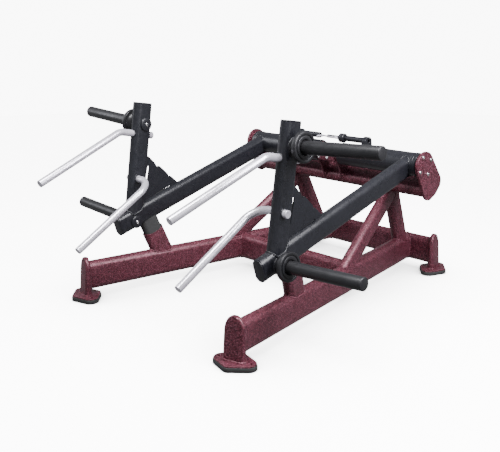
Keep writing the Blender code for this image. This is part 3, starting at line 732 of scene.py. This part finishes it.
def centre_bracket():
    y, z = AXLE
    tilt = Vector((math.cos(BEAM_TILT), math.sin(BEAM_TILT)))
    down = Vector((tilt.y, -tilt.x))
    top = Vector(BEAM_C) - down * (BEAM_W / 2 - 0.001)
    rear = top + tilt * 0.029
    beam_front = Vector(BEAM_C) - tilt * (BEAM_H - BEAM_W) / 2
    toe = []
    for k in range(13):
        a = TOE_START + (BEAM_TILT + math.pi / 2 - TOE_START) * k / 12
        toe.append(beam_front + Vector((math.cos(a), math.sin(a))) * (BEAM_W / 2 + 0.0004))
    arc = []
    for k in range(25):
        a = BEAM_TILT + math.pi * k / 24
        arc.append((y + HUB_R * math.cos(a), z + HUB_R * math.sin(a)))
    front_face = y - HUB_R
    hub = rounded_hull([(front_face + 0.004, z - 0.032, 0.004), (y + 0.020, z - 0.026, 0.010),
                        (y + 0.026, z + 0.004, 0.014), (y - 0.002, z + 0.026, 0.018),
                        (y - 0.030, z + 0.020, 0.014), (front_face + 0.004, z + 0.010, 0.004)], 8)
    bm = bmesh.new()
    add_plate(bm, hub, -HUB_X, HUB_X)
    bracket = put("centre_bracket", bm, "maroon", "frame", ("centre_bracket",), bevel=0.001)
    drill(bracket, AXLE_R + 0.0004, (-0.1, y, z), (0.1, y, z))
    for label, sx in SIDES:
        bm = bmesh.new()
        add_plate(bm, [tuple(p) for p in toe] + [tuple(rear)] + arc, sx * 0.0503, sx * BRACKET_X)
        plate = put("bracket_plate_" + label, bm, "maroon", "frame", (), bevel=0.0012)
        drill(plate, AXLE_R + 0.0004, (-0.1, y, z), (0.1, y, z))
        for side in (0.0495, 0.0608):
            line = [Vector((sx * side, *p)) for p in toe + [rear]]
            weld(f"weld_bracket_{label}_{int(side * 1e4)}", line, 0.0030, "maroon", "frame",
                 closed=False)
    for k, x in enumerate((-0.042, 0.008)):
        screw(f"bracket_screw_{k}", (x, front_face, z - 0.020), (0, -1, 0), 0.0078, 0.0050, "frame")


def stops(rails):
    for label, sx in SIDES:
        low = Vector((sx * (rail_x(STOP_FOOT_Y) - 0.004), STOP_FOOT_Y, RAIL_Z))
        top = Vector((sx * (ARM_X - 0.008), *STOP_TOP))
        along, u_dir, v_dir = frame_of(top - low, (sx * RAIL_SLOPE, 1.0, 0.0))
        outer = oval(STOP_H, STOP_W, 24, 16)
        inner = oval(STOP_H - 2 * WALL, STOP_W - 2 * WALL, 24, 16)
        long = (top - low).length

        def dip(u):
            return max(0.0, math.sqrt(max(0.0, DIP_R ** 2 - u ** 2)) - DIP_UP)

        middle = low.lerp(top, 0.72)
        feet = end_ring(outer, low, middle, u_dir, v_dir, rails[label])
        inner_feet = end_ring(inner, low, middle, u_dir, v_dir, rails[label])
        bm = bmesh.new()
        lists = [inner_feet, feet, [low + along * (long - dip(u)) + u_dir * u + v_dir * v for u, v in outer],
                 [low + along * (long - dip(u)) + u_dir * u + v_dir * v for u, v in inner]]
        rings = [[bm.verts.new(p) for p in pts] for pts in lists]
        for i in range(4):
            join_rings(bm, rings[i], rings[(i + 1) % 4])
        put("stop_post_" + label, bm, "maroon", "frame", ("stop_post_" + label,), bevel=0.0006, segments=2)
        weld("weld_stop_" + label, feet, 0.0036, "maroon", "frame", middle)
        bm = bmesh.new()
        rings = []
        for k in range(9):
            level = low + along * (long + PAD_RISE * k / 8)
            rings.append([bm.verts.new(level - along * dip(u) * (1 - k / 8) + u_dir * u + v_dir * v)
                          for u, v in oval(STOP_H - 0.010, STOP_W - 0.003, 24, 16)])
        for a, b in zip(rings, rings[1:]):
            join_rings(bm, a, b)
        bm.faces.new(rings[0])
        bm.faces.new(rings[-1])
        pad = put("stop_pad_" + label, bm, "rubber", "frame", ("stop_pad_" + label,))
        room = bmesh.new()
        add_bar(room, oval(ARM_H + 0.0008, ARM_W + 0.0008, 24), (sx * ARM_X, *ARM_FRONT),
                (sx * ARM_X, *AXLE), UP)
        carve(pad, tool(room))


# ---- arms ----
def handle(name, sx, points, bend, body):
    stub, corner, tip = [Vector((sx * x, y, z)) for x, y, z in points]
    first = (corner - stub).normalized()
    last = (tip - corner).normalized()
    angle = first.angle(last)
    inward = (last - first * first.dot(last)).normalized()
    arc_start = corner - first * bend * math.tan(angle / 2)
    centre = arc_start + inward * bend
    edge = 0.0018
    path = []
    for k in range(4):
        a = math.pi / 2 * k / 3
        path.append((stub + first * edge * (1 - math.cos(a)), first, GRIP_R - edge * (1 - math.sin(a))))
    for k in range(25):
        a = angle * k / 24
        path.append((centre - inward * bend * math.cos(a) + first * bend * math.sin(a),
                     first * math.cos(a) + inward * math.sin(a), GRIP_R))
    for k in range(4):
        a = math.pi / 2 * k / 3
        path.append((tip - last * edge * (1 - math.sin(a)), last, GRIP_R - edge * (1 - math.cos(a))))
    normal = first.cross(last).normalized()
    bm = bmesh.new()
    rims = [ring_verts(bm, circle(r, 40), spot, normal, along.cross(normal)) for spot, along, r in path]
    for a, b in zip(rims, rims[1:]):
        join_rings(bm, a, b)
    for rim, spot, out in ((rims[0], stub, -first), (rims[-1], tip, last)):
        inner = [bm.verts.new(spot + (v.co - spot) * 0.80 - out * 0.0004) for v in rim]
        join_rings(bm, rim, inner)
        bm.faces.new(inner)
    put(name, bm, "bright", body, (name,), sharp=50)


def handle_welds(label, sx, body, post_tree):
    """Beads where the bars leave their post, laid only where the whole rim meets the post."""
    for level, points in (("upper", UPPER_PATH), ("lower", LOWER_PATH)):
        stub, corner, _ = [Vector((sx * x, y, z)) for x, y, z in points]
        along, u_dir, v_dir = frame_of(corner - stub, (0.1, 0.3, 1))
        length = (corner - stub).length
        for end, start, direction in (("in", stub - along * 0.03, along),
                                      ("out", corner + along * 0.05, -along)):
            pts = []
            for u, v in circle(GRIP_R + 0.0004, 40):
                root = start + u_dir * u + v_dir * v
                hit = post_tree.ray_cast(root, direction, length + 0.1)
                if hit[0] is not None:
                    pts.append(hit[0])
            if len(pts) == 40:
                weld(f"weld_{level}_handle_{end}_{label}", pts, 0.0026, "black", body,
                     start + direction * 0.08)


def horn(name, sx, spot, body, tree):
    axis = Vector((sx * math.cos(HORN_TILT), 0, math.sin(HORN_TILT)))
    root = Vector((sx * ARM_X, spot[0], spot[1]))
    tip = (HORN_TIP_X - ARM_X) / math.cos(HORN_TILT)
    face = (FLANGE_X - ARM_X) / math.cos(HORN_TILT)
    start = 0.0255
    boss = [(start, HORN_R - 0.004), (start, 0.0345), (start + 0.004, 0.035), (face - 0.030, 0.0385),
            (face - 0.024, 0.044), (face - 0.0205, 0.0500)]
    rim = [(face - 0.0200, FLANGE_R - 0.0035), (face - 0.0185, FLANGE_R - 0.0010), (face - 0.0165, FLANGE_R),
           (face - 0.0035, FLANGE_R), (face - 0.0012, FLANGE_R - 0.0010), (face, FLANGE_R - 0.0035),
           (face, 0.0472), (face - 0.0005, 0.0464), (face - 0.0034, 0.0458), (face - 0.0034, 0.0432),
           (face - 0.0005, 0.0424), (face, 0.0416), (face, 0.0312), (face - 0.0008, 0.0296),
           (face - 0.0060, 0.0272), (face - 0.0075, HORN_R + 0.0004), (face - 0.0075, HORN_R)]
    bar = [(face + 0.02, HORN_R), (tip - 0.0030, HORN_R), (tip - 0.0018, HORN_R - 0.0004),
           (tip - 0.0006, HORN_R - 0.0014), (tip, HORN_R - 0.0030), (tip, 0)]
    bm = bmesh.new()
    add_lathe(bm, [(tip - 0.008, 0), (tip - 0.008, HORN_R - 0.004)] + boss + rim + bar, root, axis, 72)
    put(name, bm, "horn", body, (name,), sharp=40)
    _, u_dir, v_dir = frame_of(axis, UP)
    pts = []
    for u, v in circle(0.0345, 48):
        hit = tree.ray_cast(root + axis * 0.07 + u_dir * u + v_dir * v, -axis, 0.08)
        pts.append(hit[0] if hit[0] is not None else root + axis * start + u_dir * u + v_dir * v)
    weld("weld_" + name, pts, 0.0030, "black", body, root)


def gusset(label, sx, body):
    steps = [(0.338, 0.606), (0.372, 0.572), (0.379, 0.560), (0.384, 0.549), (0.392, 0.556), (0.401, 0.552),
             (0.437, 0.519), (0.446, 0.510), (0.448, 0.497), (0.456, 0.500), (0.466, 0.495), (0.508, 0.458)]
    inner = [(0.500, 0.420), (0.330, 0.365), (0.262, 0.390), (0.300, 0.600)]
    name = "gusset_" + label
    bm = bmesh.new()
    add_plate(bm, steps + inner, sx * (ARM_X - 0.004), sx * (ARM_X + 0.004))
    plate = put(name, bm, "black", body, (name,), bevel=0.0010, segments=2)
    for y0, z0, y1, z1, wide in ((0.335, 0.560, 0.312, 0.462, 0.012), (0.372, 0.424, 0.462, 0.451, 0.008)):
        d = Vector((y1 - y0, z1 - z0)).normalized()
        n = Vector((-d.y, d.x)) * wide / 2
        slit = bmesh.new()
        outline = [(y0 - n.x, z0 - n.y), (y1 - n.x, z1 - n.y), (y1 + n.x, z1 + n.y), (y0 + n.x, z0 + n.y)]
        add_plate(slit, outline, sx * (ARM_X - 0.01), sx * (ARM_X + 0.01))
        carve(plate, tool(slit))


def arm(label, sx):
    body = "arm_" + label
    y, z = AXLE
    bm = bmesh.new()
    profile = [(SLEEVE_IN, SLEEVE_R - 0.006), (SLEEVE_IN, SLEEVE_R - 0.0012), (SLEEVE_IN + 0.0012, SLEEVE_R),
               (SLEEVE_OUT - 0.0012, SLEEVE_R), (SLEEVE_OUT, SLEEVE_R - 0.0012), (SLEEVE_OUT, SLEEVE_R - 0.006)]
    add_lathe(bm, profile, (0, y, z), (sx, 0, 0), 96, True)
    sleeve = put("pivot_sleeve_" + label, bm, "black", body, ("pivot_sleeve_" + label,))
    sleeve_tree = surface(sleeve)
    bm = bmesh.new()
    profile = [(SLEEVE_OUT + 0.0003, AXLE_R + 0.0006), (SLEEVE_OUT + 0.0003, 0.0525),
               (SLEEVE_OUT + 0.0013, 0.0535), (SLEEVE_OUT + 0.012, 0.0535), (SLEEVE_OUT + 0.0128, 0.0526),
               (SLEEVE_OUT + 0.0142, 0.0526), (SLEEVE_OUT + 0.0150, 0.0535), (RING_OUT - 0.0018, 0.0535),
               (RING_OUT, 0.0515), (RING_OUT, AXLE_R + 0.0006)]
    add_lathe(bm, profile, (0, y, z), (sx, 0, 0), 96, True)
    put("sleeve_end_ring_" + label, bm, "black", body, ("sleeve_end_ring_" + label,))
    front = Vector((sx * ARM_X, *ARM_FRONT))
    hub = Vector((sx * ARM_X, *AXLE))
    along = (hub - front).normalized()
    arm_obj = tube("arm_tube_" + label, front, hub, UP, ARM_H, ARM_W, ARM_WALL, "black", body,
                   None, sleeve_tree)
    arm_tree = surface(arm_obj)
    bm = bmesh.new()
    add_stack(bm, round_rows(0.0063, 0.0020, lambda g: oval(ARM_H - 0.001 + 2 * g, ARM_W - 0.001 + 2 * g), 4),
              front - along * 0.0064, along, UP)
    put("arm_end_cap_" + label, bm, "black", body, ("arm_end_cap_" + label,))
    low = Vector((sx * ARM_X, *POST_LOW))
    top = Vector((sx * ARM_X, *POST_TOP))
    lean = (top - low).normalized()
    fore = (0, 1, 0)
    post = tube("post_tube_" + label, low, top, fore, POST_D, ARM_W, ARM_WALL, "black", body, arm_tree)
    post_tree = surface(post)
    bm = bmesh.new()
    add_stack(bm, round_rows(0.0042, 0.0018, lambda g: oval(POST_D - 0.001 + 2 * g, ARM_W - 0.001 + 2 * g), 4),
              top + lean * 0.0003, lean, fore)
    put("post_cap_" + label, bm, "black", body, ("post_cap_" + label,))
    horn("upper_horn_" + label, sx, UPPER_HORN, body, post_tree)
    horn("lower_horn_" + label, sx, POST_LOW, body, arm_tree)
    for level, spot in (("upper", UPPER_HORN), ("lower", POST_LOW)):
        face = Vector((sx * (ARM_X - ARM_W / 2 - 0.0003), *spot))
        bm = bmesh.new()
        profile = [(0, 0), (0, 0.0288), (0.0012, 0.0292), (0.0036, 0.0290), (0.0052, 0.0280),
                   (0.0060, 0.0262), (0.0062, 0.0120), (0.0056, 0.0112), (0.0056, 0.0)]
        add_lathe(bm, profile, face, (-sx, 0, 0), 56)
        name = f"horn_cap_{level}_{label}"
        put(name, bm, "black", body, (name,))
        screw(f"horn_screw_{level}_{label}", face - Vector((sx * 0.0056, 0, 0)), (-sx, 0, 0), 0.0080, 0.0046,
              body)
    handle("upper_handle_" + label, sx, UPPER_PATH, UPPER_BEND, body)
    handle("lower_handle_" + label, sx, LOWER_PATH, LOWER_BEND, body)
    handle_welds(label, sx, body, post_tree)
    gusset(label, sx, body)


def coupler_lug(label, sx, inner, body):
    y, z = AXLE
    pin_z = z + PIN_RISE
    name = "coupler_lug_" + label
    outline = [(y + 0.026 * math.cos(math.pi * k / 24), pin_z - 0.002 + 0.022 * math.sin(math.pi * k / 24))
               for k in range(25)]
    outline += [(y - 0.030, z + 0.044), (y + 0.030, z + 0.044)]
    bm = bmesh.new()
    add_plate(bm, outline, sx * LUG_X[0], sx * LUG_X[1])
    lug = put(name, bm, "black", body, (name,), bevel=0.0012)
    for radius, spot in ((SLEEVE_R - 0.0003, z), (PIN_R + 0.0006, pin_z)):
        drill(lug, radius, (sx * 0.18, y, spot), (sx * 0.23, y, spot))
    bm = bmesh.new()
    bore = PIN_R + 0.0006
    profile = [(inner, bore), (inner, GUIDE_R - 0.001), (inner + 0.001, GUIDE_R), (0.1925, GUIDE_R),
               (0.1925, bore)]
    add_lathe(bm, profile, (0, y, pin_z), (sx, 0, 0), 40, True)
    put("guide_tube_" + label, bm, "black", body, ())


def coupler():
    y, z = AXLE
    pin_z = z + PIN_RISE
    coupler_lug("R", 1, 0.090, "arm_R")
    coupler_lug("L", -1, 0.075, "arm_L")
    bm = bmesh.new()
    profile = [(-0.030, 0), (-0.030, PIN_R - 0.0015), (-0.0285, PIN_R), (0.048, PIN_R), (0.0485, 0.0190),
               (0.0500, 0.0210), (0.0520, 0.0215), (0.0600, 0.0215), (0.0610, 0.0205), (0.0630, 0.0205),
               (0.0640, 0.0215), (0.074, 0.0215), (0.0765, 0.0200), (0.0780, 0.0160), (0.0782, PIN_R),
               (0.205, PIN_R), (0.206, PIN_R - 0.001), (0.206, 0)]
    add_lathe(bm, profile, (0, y, pin_z), (1, 0, 0), 48)
    put("lock_pin", bm, "black", "lock_pin", ("lock_pin",))
    ly = y - 0.0245
    lz = pin_z + 0.002
    spots = [(0.0476, y - 0.016, lz), (0.0440, y - 0.016, lz), (0.030, ly - 0.003, lz),
             (0.010, ly - 0.004, lz + 0.001), (-0.030, ly - 0.004, lz + 0.003),
             (-0.045, ly - 0.004, lz + 0.001), (-0.070, ly - 0.004, lz - 0.006)]
    radii = [0.0035, 0.0035, 0.0035, 0.0035, 0.0040, 0.0065, 0.0065]
    bm = bmesh.new()
    rings = []
    for i, spot in enumerate(spots):
        a = Vector(spots[max(i - 1, 0)])
        b = Vector(spots[min(i + 1, len(spots) - 1)])
        _, u_dir, v_dir = frame_of(b - a, UP)
        rings.append(ring_verts(bm, circle(radii[i], 20), Vector(spot), u_dir, v_dir))
    for a, b in zip(rings, rings[1:]):
        join_rings(bm, a, b)
    bm.faces.new(rings[0])
    bm.faces.new(rings[-1])
    put("pin_pull", bm, "bright", "lock_pin", ("pin_pull",))


def carried_over():
    """The bearing rings keep their CAD shape and get the machined finish."""
    for label, _ in SIDES:
        for end in ("inner", "outer"):
            obj = bpy.data.objects[f"bearing_{end}_{label}"]
            for slot in obj.material_slots:
                slot.material = MATS["steel"]


# ---- studio ----
def studio():
    """A round floor that curves up into a wall, unseen by bounced light so that it only sets the background;
    its glow carries a painted contact shadow under the machine.
    """
    profile = [(0.0, 0.0), (0.0, FLOOR_FLAT)]
    for k in range(1, 13):
        a = math.pi / 2 * k / 12
        profile.append((FLOOR_CURVE - FLOOR_CURVE * math.cos(a), FLOOR_FLAT + FLOOR_CURVE * math.sin(a)))
    profile.append((FLOOR_TOP, FLOOR_FLAT + FLOOR_CURVE))
    bm = bmesh.new()
    add_lathe(bm, profile, (0, 0, 0), UP, 96)
    mesh = bpy.data.meshes.new("studio_sweep")
    bm.to_mesh(mesh)
    bm.free()
    mesh.shade_smooth()
    mesh.materials.append(floor_material())
    floor = bpy.data.objects.new("studio_sweep", mesh)
    bpy.context.scene.collection.objects.link(floor)
    floor.visible_diffuse = False
    floor.visible_glossy = False


def area_light(name, spot, target, size, power, colour=(1, 1, 1)):
    data = bpy.data.lights.new(name, "AREA")
    data.shape = "RECTANGLE"
    data.size, data.size_y = size
    data.energy = power
    data.color = colour
    obj = bpy.data.objects.new(name, data)
    obj.location = spot
    obj.rotation_euler = (Vector(target) - Vector(spot)).to_track_quat("-Z", "Y").to_euler()
    bpy.context.scene.collection.objects.link(obj)


def lights():
    world = bpy.data.worlds.new("studio")
    world.use_nodes = True
    shade = world.node_tree.nodes["Background"]
    shade.inputs["Color"].default_value = (0.97, 0.975, 1.0, 1)
    shade.inputs["Strength"].default_value = 0.36
    bpy.context.scene.world = world
    area_light("key", (0.8, -1.6, 3.6), (0, 0, 0.3), (1.6, 1.4), 300)
    area_light("side", (2.3, 0.3, 2.2), (0.4, 0, 0.3), (0.7, 2.4), 190, (0.97, 0.96, 1.0))
    area_light("fill", (-3.4, -1.8, 2.2), (0, 0, 0.3), (1.0, 2.4), 60, (0.94, 0.95, 1.0))


def camera():
    data = bpy.data.cameras.new("camera")
    data.sensor_width = 36.0
    data.lens = 53.72
    obj = bpy.data.objects.new("camera", data)
    obj.location = (2.26702, -1.69445 - Y_ORIGIN, 1.18629)
    obj.rotation_euler = (math.radians(74.85), 0.0, math.radians(45.31))
    bpy.context.scene.collection.objects.link(obj)
    bpy.context.scene.camera = obj


def main():
    camera()
    make_materials()
    studio()
    lights()
    rails = base_frame()
    supports(rails)
    axle_and_ends()
    centre_bracket()
    for label, sx in SIDES:
        arm(label, sx)
    stops(rails)
    coupler()
    carried_over()


main()
